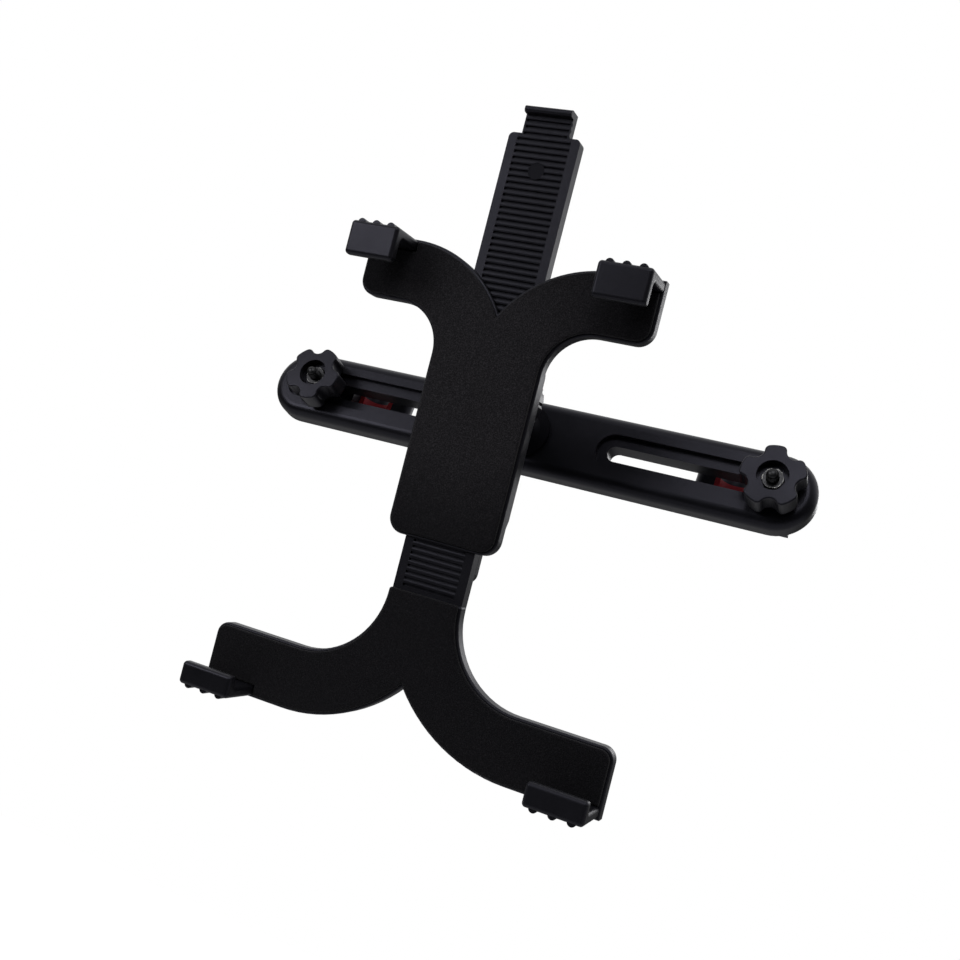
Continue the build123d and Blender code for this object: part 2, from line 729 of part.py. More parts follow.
left_bolt_x = left_bolt_inset - slot_outer
right_bolt_x = slot_outer - right_bolt_inset
clamps = [("left", 1, left_bolt_x, left_knob_turn), ("right", -1, right_bolt_x, right_knob_turn)]
for side, inward, bolt_x, knob_turn in clamps:
    clamp_view = Plane(origin=(bolt_x, 0, 0), x_dir=(1, 0, 0), z_dir=(0, -1, 0))
    clamp_plan = Plane(origin=(bolt_x, 0, 0), x_dir=(inward, 0, 0), z_dir=(0, 0, -inward))
    clamp_side = Plane(origin=(bolt_x, 0, 0), x_dir=(0, -1, 0), z_dir=(1, 0, 0))

    with BuildPart() as washer:
        with BuildSketch(clamp_view.offset(ledge_front)):
            Circle(washer_radius)
            Circle(bolt_radius + hole_play, mode=Mode.SUBTRACT)
        extrude(amount=washer_thickness)
    washer.part.label = f"{side}_washer"
    export_step(washer.part, f"parts/{side}_washer.step")

    with BuildPart() as star_knob:
        with BuildSketch(clamp_view.offset(knob_base)) as star:
            Circle(knob_radius)
            with PolarLocations(valley_reach, lobe_count, start_angle=knob_turn + 180 / lobe_count):
                Circle(valley_radius, mode=Mode.SUBTRACT)
            fillet(star.vertices(), lobe_round)
        extrude(amount=knob_height)
        fillet(star_knob.faces().sort_by(Axis.Y)[0].edges(), knob_front_round)
        fillet(star_knob.faces().sort_by(Axis.Y)[-1].edges(), knob_back_round)
        with BuildSketch(clamp_view.offset(washer_front)):
            Circle(knob_collar_radius)
        extrude(amount=knob_base - washer_front)
        with BuildSketch(clamp_view.offset(knob_face)):
            Circle(knob_recess_radius)
        extrude(amount=-knob_recess_depth, mode=Mode.SUBTRACT)
        with BuildSketch(clamp_view.offset(nut_back)):
            RegularPolygon(nut_flats / 2 + seat_play, 6, major_radius=False)
        extrude(amount=nut_height, mode=Mode.SUBTRACT)
        with BuildSketch(clamp_view.offset(washer_front)):
            Circle(bolt_radius + hole_play)
        extrude(amount=knob_front, mode=Mode.SUBTRACT)
    star_knob.part.label = f"{side}_star_knob"
    export_step(star_knob.part, f"parts/{side}_star_knob.step")

    with BuildPart() as hex_nut:
        with BuildSketch(clamp_view.offset(nut_back)):
            Circle(nut_flats / math.sqrt(3))
        extrude(amount=nut_height)
        chamfer(hex_nut.edges().filter_by(GeomType.CIRCLE), nut_chamfer)
        with BuildSketch(clamp_view.offset(nut_back)):
            RegularPolygon(nut_flats / 2, 6, major_radius=False)
            Circle(bolt_radius + thread_play, mode=Mode.SUBTRACT)
        extrude(amount=nut_height, mode=Mode.INTERSECT)
    hex_nut.part.label = f"{side}_hex_nut"
    export_step(hex_nut.part, f"parts/{side}_hex_nut.step")

    with BuildPart() as jaw_bolt:
        with BuildSketch(clamp_view.offset(jaw_back)):
            Circle(bolt_head_radius)
        extrude(amount=-bolt_head_height)
        fillet(jaw_bolt.edges().sort_by(Axis.Y)[-1], bolt_head_round)
        with BuildSketch(clamp_view.offset(jaw_back)):
            Rectangle(bolt_square, bolt_square)
        extrude(amount=bolt_square_depth)
        with BuildSketch(clamp_view.offset(jaw_back)):
            Circle(bolt_radius)
        extrude(amount=bolt_tip - jaw_back)
        fillet(jaw_bolt.edges().sort_by(Axis.Y)[0], bolt_tip_round)
    jaw_bolt.part.label = f"{side}_jaw_bolt"
    export_step(jaw_bolt.part, f"parts/{side}_jaw_bolt.step")

    with BuildPart() as clamp_jaw:
        with BuildSketch(clamp_plan.offset(-jaw_height / 2)) as jaw_profile:
            with BuildLine():
                Polyline(
                    (-jaw_tail, jaw_back),
                    (-jaw_tail, heel_front),
                    (heel_inner, heel_front),
                    (heel_inner, jaw_arm),
                    (jaw_reach, jaw_arm),
                    (jaw_reach, jaw_back),
                    close=True,
                )
            make_face()
            fillet(jaw_profile.vertices().group_by(Axis.X)[0], jaw_round)
            fillet(jaw_profile.vertices().group_by(Axis.X)[-1], jaw_tip_round)
            with Locations((post_offset, 0)):
                Circle(post_radius + groove_relief, mode=Mode.SUBTRACT)
        extrude(amount=jaw_height)
        with BuildSketch(clamp_side) as jaw_section:
            with Locations(((jaw_back + heel_front) / 2, 0)):
                Rectangle(heel_front - jaw_back, jaw_height)
            fillet(jaw_section.vertices().group_by(Axis.X)[0], jaw_back_round)
        extrude(amount=jaw_reach, both=True, mode=Mode.INTERSECT)
        with BuildSketch(clamp_plan.offset(-grip_height / 2 - seat_play)):
            with Locations((grip_middle, (grip_back + jaw_arm) / 2)):
                Rectangle(grip_length + 2 * seat_play, jaw_arm - grip_back + 2 * seat_play)
        extrude(amount=grip_height + 2 * seat_play, mode=Mode.SUBTRACT)
        with BuildSketch(clamp_view.offset(heel_front)):
            SlotOverall(key_length, slot_width - 2 * slide_play)
        extrude(amount=key_front - heel_front)
        with BuildSketch(clamp_view.offset(jaw_back)):
            Circle(bolt_radius + seat_play)
        extrude(amount=key_front - jaw_back, mode=Mode.SUBTRACT)
        with BuildSketch(clamp_view.offset(jaw_back)):
            Rectangle(bolt_square + 2 * seat_play, bolt_square + 2 * seat_play)
        extrude(amount=bolt_square_depth + seat_play, mode=Mode.SUBTRACT)
    clamp_jaw.part.label = f"{side}_clamp_jaw"
    export_step(clamp_jaw.part, f"parts/{side}_clamp_jaw.step")

    with BuildPart() as grip_pad:
        with BuildSketch(clamp_plan.offset(-grip_height / 2)):
            with Locations((grip_middle, (grip_back + jaw_arm) / 2)):
                Rectangle(grip_length, jaw_arm - grip_back)
            with Locations((post_offset, 0)):
                Circle(post_radius, mode=Mode.SUBTRACT)
        extrude(amount=grip_height)
    grip_pad.part.label = f"{side}_grip_pad"
    export_step(grip_pad.part, f"parts/{side}_grip_pad.step")
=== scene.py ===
"""Headrest tablet mount: finishes, foam pads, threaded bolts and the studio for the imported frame."""
import json
import math

import bmesh
import bpy
import numpy as np
from bpy.props import FloatProperty, FloatVectorProperty, IntProperty, PointerProperty
from mathutils import Matrix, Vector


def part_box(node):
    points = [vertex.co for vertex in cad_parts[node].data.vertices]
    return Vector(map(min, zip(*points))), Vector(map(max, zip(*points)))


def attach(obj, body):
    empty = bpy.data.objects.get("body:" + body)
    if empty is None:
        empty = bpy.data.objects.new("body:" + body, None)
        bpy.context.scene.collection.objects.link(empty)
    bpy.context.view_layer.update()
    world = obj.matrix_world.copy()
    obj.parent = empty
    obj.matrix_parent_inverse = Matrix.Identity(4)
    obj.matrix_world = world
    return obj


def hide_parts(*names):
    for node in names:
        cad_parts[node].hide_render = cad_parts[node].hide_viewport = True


bl_info = {
    "name": "Headrest tablet mount",
    "version": (1, 0, 0),
    "blender": (4, 5, 0),
    "location": "View3D > Sidebar > Mount",
    "description": "Dresses the packed headrest tablet mount",
    "category": "Object",
}

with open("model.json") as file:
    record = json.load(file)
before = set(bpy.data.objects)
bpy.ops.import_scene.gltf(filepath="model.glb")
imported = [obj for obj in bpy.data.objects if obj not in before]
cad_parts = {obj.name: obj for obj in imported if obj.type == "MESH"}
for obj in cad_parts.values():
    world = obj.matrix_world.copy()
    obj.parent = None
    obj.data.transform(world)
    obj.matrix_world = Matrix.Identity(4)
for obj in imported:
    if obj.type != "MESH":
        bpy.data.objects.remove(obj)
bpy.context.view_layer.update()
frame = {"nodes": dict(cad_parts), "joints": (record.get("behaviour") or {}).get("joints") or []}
nodes = frame["nodes"]
joints = {joint["name"]: joint for joint in frame["joints"]}

MM = 0.001

# The ball in metres, and the holder's upward and forward directions at rest
BALL = np.array(joints["ball_tilt"]["pos_m"], float)
HOLDER_UP = -np.array(joints["bracket_slide"]["axis"], float)
HOLDER_FRONT = np.array(joints["holder_swivel"]["axis"], float)

# Cool cast of the light that the black surfaces mirror
SHEEN_TINT = (0.8, 0.79, 1.0, 1.0)

# Outline of the upper bracket, in millimetres from the middle and above the ball
ARM_TOP = 50.8
ARM_BOTTOM = 25.9
ARM_END = 61.0
ARM_CROOK = 40.9
ARM_CORNER = 6.5
NOTCH_RUN = 41.0
NOTCH_DROP = 22.9
BODY_HALF = 23.0
BODY_BOTTOM = -62.7
BODY_CORNER = 6.5
UPPER_CLAW_INNER = 40.1

# Outline of the lower bracket, in the same millimetres
NECK_HALF = 15.5
NECK_TOP = -83.2
NECK_CORNER = 1.0
FOOT_TOP = -115.8
FOOT_BOTTOM = -141.4
FOOT_END = 85.1
FOOT_CROOK = 46.8
FOOT_CORNER = 5.0
FOOT_NOTCH_RUN = 48.0
FOOT_NOTCH_RISE = 22.6
LOWER_CLAW_INNER = 61.6

# Pads in millimetres: front of their plate before the ball, rim inside the outline, cuts for the claws
PLATE_FRONT = 27.8
PAD_RIM = 1.1
CLAW_CUT = 5.2
CLAW_GAP = 0.4

# Points nearer than this, in millimetres, count as one; the smallest squared mean normal of a mitred corner
SAME_POINT = 1e-4
SHARPEST_CORNER = 0.3

# Ribs of the strip and the plain disc among them, in millimetres above or in front of the ball
RIB_FIRST = 96.4
RIB_PITCH = 2.5
RIB_HALF = 11.1
RIB_TOP = 105.2
RIB_BOTTOM = -81.0
RIB_DEPTH = 1.0
STRIP_FRONT = 26.05
DISC_HEIGHT = 84.6
DISC_RADIUS = 3.3

# Carriage bolts in millimetres: domed head, shank that the thread starts on, and tip
BOLT_HEAD_RISE = 2.6
BOLT_HEAD_RADIUS = 5.5
BOLT_TIP = 1.4
THREAD_START = 2.0

# Thread: steps in a pitch, steps over which it rises, slope of its flanks, and what is cut off at its root
THREAD_STEPS = 7
THREAD_RISE = 12
THREAD_FLANK = 2.6
THREAD_CUT = 0.15

# Painted pool of light on the foam, paler round the middle of the upper plate: metres from that middle, and
# factor on the colour, at the fade's start and end
LIT_PATCH_REACH = (0.03, 0.062)
LIT_PATCH_GAIN = (3.0, 1.05)

# Painted highlight on a nut: metres from its axis over which its rim turns bright, and how far that edge
# wanders
NUT_GLINT_RING = (0.0039, 0.0041)
NUT_GLINT_WANDER = 0.00025

# Spans of a texture's values that are stretched to 0..1
NOISE_SPAN = (0.3, 0.7)
PIT_SPAN = (0.1, 0.75)
FLECK_SPAN = (0.46, 0.72)
BROKEN_SPAN = (0.42, 0.56)
GROOVE_SPAN = (0.2, 0.6)

# Fades of the surround along the Y and Z of the direction looked in
WALL_FADE = (-0.75, 0.1)
WALL_HORIZON = (0.2, 0.6)
CEILING_FADE = (0.0, 0.7)
SCREEN_FADE = (0.0, 0.3)
SCREEN_HORIZON = (0.2, 0.5)

# Share of the light that is left at the dark end of a fade along Z
WALL_DIM = 0.04
CEILING_DIM = 0.03
SCREEN_DIM = 0.06

# Edges of the floor, in metres
FLOOR_HALF = 1.6
FLOOR_FRONT = -0.3
FLOOR_BACK = 1.6

# Soft boxes: name, place and diameter in metres, and the setting that holds the power
SOFT_BOXES = (
    ("left_soft_box", (-0.56, -0.84, 0.07), 0.44, "left_lamp"),
    ("right_soft_box", (0.14, -0.9, 0.46), 0.5, "right_lamp"),
    ("rear_soft_box", (0.24, 0.85, 0.42), 0.32, "rear_lamp"),
)

# Right and down in the picture, as directions of the frame
PICTURE_RIGHT = np.array((0.90121, 0.26102, 0.34596))
PICTURE_DOWN = np.array((0.22499, 0.40050, -0.88824))
SENSOR_WIDTH = 36.0


class PlasticSettings(bpy.types.PropertyGroup):
    """Colours and grain of the black mouldings."""

    bar_colour: FloatVectorProperty(
        name="Bar colour", description="Satin black of the bar and jaws",
        subtype="COLOR", size=3, min=0, max=1, default=(0.0062, 0.0062, 0.0078))
    holder_colour: FloatVectorProperty(
        name="Holder colour", description="Black of the brackets and rear cover",
        subtype="COLOR", size=3, min=0, max=1, default=(0.0064, 0.0064, 0.0078))
    knob_colour: FloatVectorProperty(
        name="Knob colour", description="Black of the knobs and ring nut",
        subtype="COLOR", size=3, min=0, max=1, default=(0.0066, 0.0066, 0.0082))
    # The stud colour is painted shade: darker than the other black plastic to stand in for the holder's
    # shadow on the stud
    stud_shade_colour: FloatVectorProperty(
        name="Stud colour", description="Dull black of the ball stud",
        subtype="COLOR", size=3, min=0, max=1, default=(0.0022, 0.0022, 0.003))
    dust_colour: FloatVectorProperty(
        name="Dust colour", description="Dust in the grooves between the strip's ribs",
        subtype="COLOR", size=3, min=0, max=1, default=(0.022, 0.022, 0.027))
    rib_depth: FloatProperty(
        name="Rib rounding", description="Height of the rounding on the strip's ribs",
        subtype="DISTANCE", unit="LENGTH", min=0, default=0.0002)
    grain: FloatProperty(
        name="Grain", description="Depth of the moulded grain",
        subtype="DISTANCE", unit="LENGTH", min=0, default=0.00006)


class FoamSettings(bpy.types.PropertyGroup):
    """Size and colour of the die-cut foam pads."""

    colour: FloatVectorProperty(
        name="Foam colour", description="Black of the foam pads",
        subtype="COLOR", size=3, min=0, max=1, default=(0.0067, 0.0063, 0.0069))
    thickness: FloatProperty(
        name="Thickness", description="Height of a pad above its bracket",
        subtype="DISTANCE", unit="LENGTH", min=0, default=0.0015)
    edge: FloatProperty(
        name="Edge radius", description="Soft rounding of a pad's upper edge",
        subtype="DISTANCE", unit="LENGTH", min=0, default=0.0008)
    pits: FloatProperty(
        name="Pits", description="Depth of the open cells",
        subtype="DISTANCE", unit="LENGTH", min=0, default=0.0003)


class BoltSettings(bpy.types.PropertyGroup):
    """Thread of the two carriage bolts and the finish of the steel."""

    steel_colour: FloatVectorProperty(
        name="Steel colour", description="Zinc-plated steel",
        subtype="COLOR", size=3, min=0, max=1, default=(0.23, 0.23, 0.225))
    bolt_colour: FloatVectorProperty(
        name="Bolt colour", description="Blackened steel of the bolts and of the faces of their nuts",
        subtype="COLOR", size=3, min=0, max=1, default=(0.045, 0.045, 0.048))
    # The nut rim colour is a painted highlight: a bright ring that stands in for light caught on a nut's
    # chamfer
    glint_colour: FloatVectorProperty(
        name="Nut rim colour", description="Bare steel on the worn rim of a nut",
        subtype="COLOR", size=3, min=0, max=1, default=(0.36, 0.36, 0.35))
    pitch: FloatProperty(
        name="Pitch", description="Thread pitch",
        subtype="DISTANCE", unit="LENGTH", min=0.0001, default=0.0008)
    root: FloatProperty(
        name="Root radius", description="Radius at the bottom of the thread",
        subtype="DISTANCE", unit="LENGTH", min=0.0001, default=0.0021)
    crest: FloatProperty(
        name="Crest radius", description="Radius at the top of the thread",
        subtype="DISTANCE", unit="LENGTH", min=0.0001, default=0.0025)
    sides: IntProperty(name="Sides", description="Steps round a bolt", min=12, default=40)


class RubberSettings(bpy.types.PropertyGroup):
    """Colours of the claw caps and of the grip pads."""

    cap_colour: FloatVectorProperty(
        name="Cap colour", description="Black rubber of the claw caps",
        subtype="COLOR", size=3, min=0, max=1, default=(0.0068, 0.0068, 0.0085))
    grip_colour: FloatVectorProperty(
        name="Grip colour", description="Red rubber of the grip pads",
        subtype="COLOR", size=3, min=0, max=1, default=(0.26, 0.007, 0.01))


class StudioSettings(bpy.types.PropertyGroup):
    """Camera, lamps and floor."""

    camera_place: FloatVectorProperty(
        name="Camera", description="Place of the camera",
        subtype="TRANSLATION", unit="LENGTH", size=3, default=(0.16766, -0.43809, -0.17086))
    focal: FloatProperty(
        name="Focal length", description="Focal length on a 36 mm sensor",
        unit="CAMERA", min=1, default=42.43)
    floor_height: FloatProperty(
        name="Floor", description="Height of the floor",
        subtype="DISTANCE", unit="LENGTH", default=-0.42)
    floor_glow: FloatProperty(
        name="Floor glow", description="Light added to the floor for the camera", min=0, default=0.75)
    backdrop: FloatProperty(
        name="Backdrop", description="Light from behind and from the sides", min=0, default=0.75)
    ceiling: FloatProperty(
        name="Ceiling", description="Light from above, all round", min=0, default=0.3)
    left_lamp: FloatProperty(
        name="Left lamp", description="Power of the left soft box", unit="POWER", min=0, default=2.15)
    right_lamp: FloatProperty(
        name="Right lamp", description="Power of the right soft box", unit="POWER", min=0, default=2.05)
    rear_lamp: FloatProperty(
        name="Rear lamp", description="Power of the rear soft box", unit="POWER", min=0, default=0.8)


GROUPS = {
    "mount_plastic": PlasticSettings,
    "mount_foam": FoamSettings,
    "mount_bolt": BoltSettings,
    "mount_rubber": RubberSettings,
    "mount_studio": StudioSettings,
}


def both(*names):
    """Node names of the left and right clamp."""
    return [f"{side}_{name}" for side in ("left", "right") for name in names]


def holder_points(flat, height):
    """Points (x, up) at a height in front of the ball, in mm, as ball + x X + up U + height F in metres."""
    flat = np.asarray(flat, float) * MM
    height = np.broadcast_to(np.asarray(height, float) * MM, flat.shape[:-1])
    x = np.zeros(flat.shape[:-1] + (3,))
    x[..., 0] = flat[..., 0]
    return BALL + x + flat[..., 1:2] * HOLDER_UP + height[..., None] * HOLDER_FRONT


def arc(centre, radius, start, end, steps):
    """Points on a circle: centre + radius (cos a, sin a), with a from start to end in degrees."""
    a = np.radians(np.linspace(start, end, steps))
    return np.stack((centre[0] + radius * np.cos(a), centre[1] + radius * np.sin(a)), 1)


def clean_loop(points):
    """Drops points that repeat the one before."""
    points = np.asarray(points, float)
    keep = np.linalg.norm(points - np.roll(points, 1, 0), axis=1) > SAME_POINT
    return points[keep]


def mitre(loop):
    """Inward direction at each point of a closed loop that turns left: the mean of both edge normals over
    its own squared length, so that moving every point by d moves every edge by d."""
    edge = np.roll(loop, -1, 0) - loop
    edge /= np.linalg.norm(edge, axis=1)[:, None]
    normal = np.stack((-edge[:, 1], edge[:, 0]), 1)
    mean = (normal + np.roll(normal, 1, 0)) / 2
    return mean / np.maximum((mean**2).sum(1), SHARPEST_CORNER)[:, None]


def mesh_piece(name, verts, faces, material, body, smooth=35):
    """A closed mesh at the origin, shaded smooth below an angle in degrees, riding on a body."""
    mesh = bpy.data.meshes.new(name)
    mesh.from_pydata(np.asarray(verts).reshape(-1, 3), [], faces)
    mesh.polygons.foreach_set("use_smooth", np.ones(len(mesh.polygons), bool))
    mesh.set_sharp_from_angle(angle=math.radians(smooth))
    mesh.update()
    piece = bpy.data.objects.new(name, mesh)
    bpy.context.scene.collection.objects.link(piece)
    mesh.materials.append(material)
    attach(piece, body)
    return piece


def ring_faces(rings, count):
    """Quads between neighbouring rings of count points, with ring i starting at point i count."""
    i, j = np.meshgrid(np.arange(rings - 1), np.arange(count), indexing="ij")
    k = (j + 1) % count
    quads = np.stack((i * count + j, i * count + k, (i + 1) * count + k, (i + 1) * count + j), -1)
    return quads.reshape(-1, 4).tolist()


def dress(names, material):
    """Gives CAD nodes a finish."""
    for name in names:
        piece = nodes[name]
        if not piece.material_slots:
            piece.data.materials.append(material)
        for slot in piece.material_slots:
            slot.material = material


def node_group(name, inputs, outputs):
    """Empty shader node group with float inputs (name, default), a vector input and float outputs."""
    group = bpy.data.node_groups.new(name, "ShaderNodeTree")
    for label, default in inputs:
        socket = group.interface.new_socket(label, in_out="INPUT", socket_type="NodeSocketFloat")
        socket.default_value = default
    group.interface.new_socket("Vector", in_out="INPUT", socket_type="NodeSocketVector")
    for label in outputs:
        group.interface.new_socket(label, in_out="OUTPUT", socket_type="NodeSocketFloat")
    return group, group.nodes.new("NodeGroupInput"), group.nodes.new("NodeGroupOutput")


def feed(tree, value, socket):
    """Sets a socket to a number, or links another socket to it."""
    if isinstance(value, (int, float)):
        socket.default_value = value
    else:
        tree.links.new(value, socket)


def source_of(shader, label):
    """Socket that feeds an input of a shader."""
    return shader.inputs[label].links[0].from_socket


def noise(tree, vector, scale, detail, rough):
    """Noise texture on a vector; scale may be a socket or a number."""
    node = tree.nodes.new("ShaderNodeTexNoise")
    node.inputs["Detail"].default_value = detail
    node.inputs["Roughness"].default_value = rough
    tree.links.new(vector, node.inputs["Vector"])
    feed(tree, scale, node.inputs["Scale"])
    return node.outputs["Fac"]


def ranged(tree, value, low, high, to_low, to_high):
    """Map Range from low..high to to_low..to_high, clamped."""
    node = tree.nodes.new("ShaderNodeMapRange")
    limits = {"From Min": low, "From Max": high, "To Min": to_low, "To Max": to_high}
    for label, number in limits.items():
        node.inputs[label].default_value = number
    tree.links.new(value, node.inputs["Value"])
    return node.outputs["Result"]


def combined(tree, operation, a, b=0.0):
    """Math node on two sockets or numbers."""
    node = tree.nodes.new("ShaderNodeMath")
    node.operation = operation
    feed(tree, a, node.inputs[0])
    feed(tree, b, node.inputs[1])
    return node.outputs[0]


def vector_value(tree, operation, vector, other=(0.0, 0.0, 0.0)):
    """Distance or dot product of a vector socket and a fixed vector, or the socket's own length."""
    node = tree.nodes.new("ShaderNodeVectorMath")
    node.operation = operation
    node.inputs[1].default_value = other
    tree.links.new(vector, node.inputs[0])
    return node.outputs["Value"]


def measured(tree, place, way):
    """Distance of a point from the ball along a direction, (P - ball) . way."""
    return combined(tree, "SUBTRACT", vector_value(tree, "DOT_PRODUCT", place, way), float(BALL @ way))


def tinted(tree, mask, low, high):
    """Colour mixed from low to high by a mask; low may be a socket."""
    mix = tree.nodes.new("ShaderNodeMix")
    mix.data_type = "RGBA"
    if isinstance(low, bpy.types.NodeSocket):
        tree.links.new(low, mix.inputs["A"])
    else:
        mix.inputs["A"].default_value = (*low, 1)
    mix.inputs["B"].default_value = (*high, 1)
    tree.links.new(mask, mix.inputs["Factor"])
    return mix.outputs["Result"]


def drifted(tree, mask, colour, dark, pale):
    """Colour that goes by a mask from dark times itself to pale times itself."""
    low, high = (tuple(part * share for part in colour) for share in (dark, pale))
    return tinted(tree, mask, low, high)


def scaled(tree, colour, factor):
    """Colour socket times a value socket."""
    node = tree.nodes.new("ShaderNodeVectorMath")
    node.operation = "SCALE"
    tree.links.new(colour, node.inputs[0])
    tree.links.new(factor, node.inputs["Scale"])
    return node.outputs["Vector"]


def bumped(tree, shader, height, depth, strength):
    """Bump of a height mask into the shader's normal, on top of any bump that is there."""
    bump = tree.nodes.new("ShaderNodeBump")
    bump.inputs["Strength"].default_value = strength
    bump.inputs["Distance"].default_value = depth
    tree.links.new(height, bump.inputs["Height"])
    if shader.inputs["Normal"].is_linked:
        tree.links.new(source_of(shader, "Normal"), bump.inputs["Normal"])
    tree.links.new(bump.outputs["Normal"], shader.inputs["Normal"])


def moulded_grain():
    """Node group: fine spark-eroded grain as Height, and slow cloudy patches as Patch, both 0 to 1."""
    found = bpy.data.node_groups.get("moulded_grain")
    if found:
        return found
    scales = [("Grain scale", 2200.0), ("Patch scale", 38.0)]
    group, source, sink = node_group("moulded_grain", scales, ("Height", "Patch"))
    place = source.outputs["Vector"]
    fine = noise(group, place, source.outputs["Grain scale"], detail=3.0, rough=0.65)
    patch = noise(group, place, source.outputs["Patch scale"], detail=4.0, rough=0.55)
    group.links.new(ranged(group, fine, *NOISE_SPAN, 0.0, 1.0), sink.inputs["Height"])
    group.links.new(ranged(group, patch, *NOISE_SPAN, 0.0, 1.0), sink.inputs["Patch"])
    return group


def foam_cells():
    """Node group: open cells of skived foam as Height, and pale flecks as Fleck, both 0 to 1."""
    found = bpy.data.node_groups.get("foam_cells")
    if found:
        return found
    group, source, sink = node_group("foam_cells", [("Cell scale", 2400.0)], ("Height", "Fleck"))
    place, scale = source.outputs["Vector"], source.outputs["Cell scale"]
    cell = group.nodes.new("ShaderNodeTexVoronoi")
    cell.feature = "SMOOTH_F1"
    group.links.new(place, cell.inputs["Vector"])
    group.links.new(scale, cell.inputs["Scale"])
    crumb = noise(group, place, scale, detail=5.0, rough=0.7)
    pits = ranged(group, cell.outputs["Distance"], *PIT_SPAN, 0.0, 1.0)
    height = combined(group, "MULTIPLY", combined(group, "ADD", pits, crumb), 0.5)
    group.links.new(height, sink.inputs["Height"])
    group.links.new(ranged(group, crumb, *FLECK_SPAN, 0.0, 1.0), sink.inputs["Fleck"])
    return group


def new_material(name, colour, roughness, slot_values):
    """Material with a Principled BSDF; returns it with its tree, shader and Object coordinates."""
    material = bpy.data.materials.new(name)
    material.use_nodes = True
    tree = material.node_tree
    shader = tree.nodes["Principled BSDF"]
    shader.inputs["Base Color"].default_value = (*colour, 1)
    shader.inputs["Roughness"].default_value = roughness
    for label, value in slot_values.items():
        shader.inputs[label].default_value = value
    place = tree.nodes.new("ShaderNodeTexCoord").outputs["Object"]
    return material, tree, shader, place


def grouped(tree, group, place, values):
    """Places a node group on a coordinate socket, with its own values, and returns its outputs."""
    node = tree.nodes.new("ShaderNodeGroup")
    node.node_tree = group
    for label, value in values.items():
        node.inputs[label].default_value = value
    tree.links.new(place, node.inputs["Vector"])
    return node.outputs


def plastic(name, colour, roughness, spread, grain_scale, depth, strength, gloss=0.32):
    """Moulded plastic: grained bump, and colour and gloss that drift a little in slow patches."""
    shine = {"Specular IOR Level": gloss, "Specular Tint": SHEEN_TINT}
    material, tree, shader, place = new_material(name, colour, roughness, shine)
    grain = grouped(tree, moulded_grain(), place, {"Grain scale": grain_scale})
    drift = drifted(tree, grain["Patch"], colour, dark=0.86, pale=1.16)
    tree.links.new(drift, shader.inputs["Base Color"])
    satin = ranged(tree, grain["Patch"], 0, 1, roughness - spread, roughness + spread)
    tree.links.new(satin, shader.inputs["Roughness"])
    bumped(tree, shader, grain["Height"], depth, strength)
    return material


def rib_masks(tree, place):
    """Masks of the strip, each 0 to 1: the rounded ribs 0.5 - 0.5 cos(2 pi (u - first) / pitch) along the
    height u above the ball, the ribbed field on the strip's front, and the plain disc in it."""
    height, reach = (measured(tree, place, way) for way in (HOLDER_UP, HOLDER_FRONT))
    along = combined(tree, "SUBTRACT", height, RIB_FIRST * MM)
    phase = combined(tree, "MULTIPLY", along, 2 * math.pi / (RIB_PITCH * MM))
    crest = ranged(tree, combined(tree, "COSINE", phase), -1.0, 1.0, 1.0, 0.0)
    axes = tree.nodes.new("ShaderNodeSeparateXYZ")
    tree.links.new(place, axes.inputs[0])
    across = combined(tree, "ABSOLUTE", axes.outputs["X"])
    disc = vector_value(tree, "DISTANCE", place, holder_points((0.0, DISC_HEIGHT), STRIP_FRONT))
    limits = (
        (across, "LESS_THAN", RIB_HALF),
        (height, "LESS_THAN", RIB_TOP),
        (height, "GREATER_THAN", RIB_BOTTOM),
        (reach, "GREATER_THAN", STRIP_FRONT - RIB_DEPTH),
        (disc, "GREATER_THAN", DISC_RADIUS),
    )
    field = 1.0
    for value, test, limit in limits:
        field = combined(tree, "MULTIPLY", field, combined(tree, test, value, limit * MM))
    return crest, field, combined(tree, "LESS_THAN", disc, DISC_RADIUS * MM)


def rounded_ribs(material, depth, dust):
    """Rounds the strip's ribs by a bump, dulls its disc and grooves, and pales the grooves with dust."""
    tree = material.node_tree
    shader = tree.nodes["Principled BSDF"]
    place = tree.nodes.new("ShaderNodeTexCoord").outputs["Object"]
    crest, field, disc = rib_masks(tree, place)
    groove = combined(tree, "MULTIPLY", field, ranged(tree, crest, *GROOVE_SPAN, 1.0, 0.0))
    dull = combined(tree, "MULTIPLY", combined(tree, "MAXIMUM", disc, groove), 0.4)
    gloss = combined(tree, "ADD", source_of(shader, "Roughness"), dull)
    tree.links.new(gloss, shader.inputs["Roughness"])
    dusty = tinted(tree, groove, source_of(shader, "Base Color"), dust)
    tree.links.new(dusty, shader.inputs["Base Color"])
    bumped(tree, shader, combined(tree, "MULTIPLY", field, crest), depth, strength=1.0)


def foam(name, look):
    """Skived foam: pitted bump, pale flecks, almost no gloss, and a paler middle that is a painted pool of
    light.
    """
    dull = {"Specular IOR Level": 0.16, "Specular Tint": SHEEN_TINT,
            "Sheen Weight": 0.08, "Sheen Roughness": 0.5}
    material, tree, shader, place = new_material(name, look.colour, roughness=0.85, slot_values=dull)
    cells = grouped(tree, foam_cells(), place, {})
    flecked = drifted(tree, cells["Fleck"], look.colour, dark=0.5, pale=2.8)
    reach = vector_value(tree, "DISTANCE", place, BALL + HOLDER_FRONT * PLATE_FRONT * MM)
    # Painted pool of light: the colour is up to three times paler near the middle of the upper plate
    lit_patch = ranged(tree, reach, *LIT_PATCH_REACH, *LIT_PATCH_GAIN)
    tree.links.new(scaled(tree, flecked, lit_patch), shader.inputs["Base Color"])
    tree.links.new(ranged(tree, cells["Fleck"], 0, 1, 0.9, 0.72), shader.inputs["Roughness"])
    bumped(tree, shader, cells["Height"], look.pits, strength=0.7)
    return material


